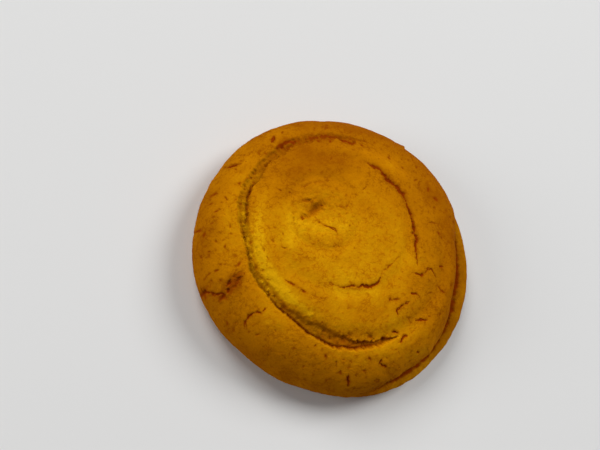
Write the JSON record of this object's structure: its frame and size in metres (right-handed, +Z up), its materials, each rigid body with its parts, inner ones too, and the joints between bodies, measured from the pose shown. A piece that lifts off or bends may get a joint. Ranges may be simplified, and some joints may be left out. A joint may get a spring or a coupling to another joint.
{
  "type": "lemon cookie",
  "caption": "Round baked lemon cookie: a low dome of coiled dough with an open seam, cracked crust, a torn foot on one side and a flat base.",
  "frame": {"origin": "centre of the bounding box's bottom, on the surface the cookie stands on", "axes": "+Z up out of the domed top; +X towards the side where the foot stands out; +Y from the dark open end of the seam towards the back"},
  "size_m": [0.072, 0.0696, 0.0192],
  "materials": {
    "crust": "matt, dry golden lemon crust"
  },
  "bodies": {
    "root": {"lemon_cookie": "crust"}
  },
  "joints": []
}
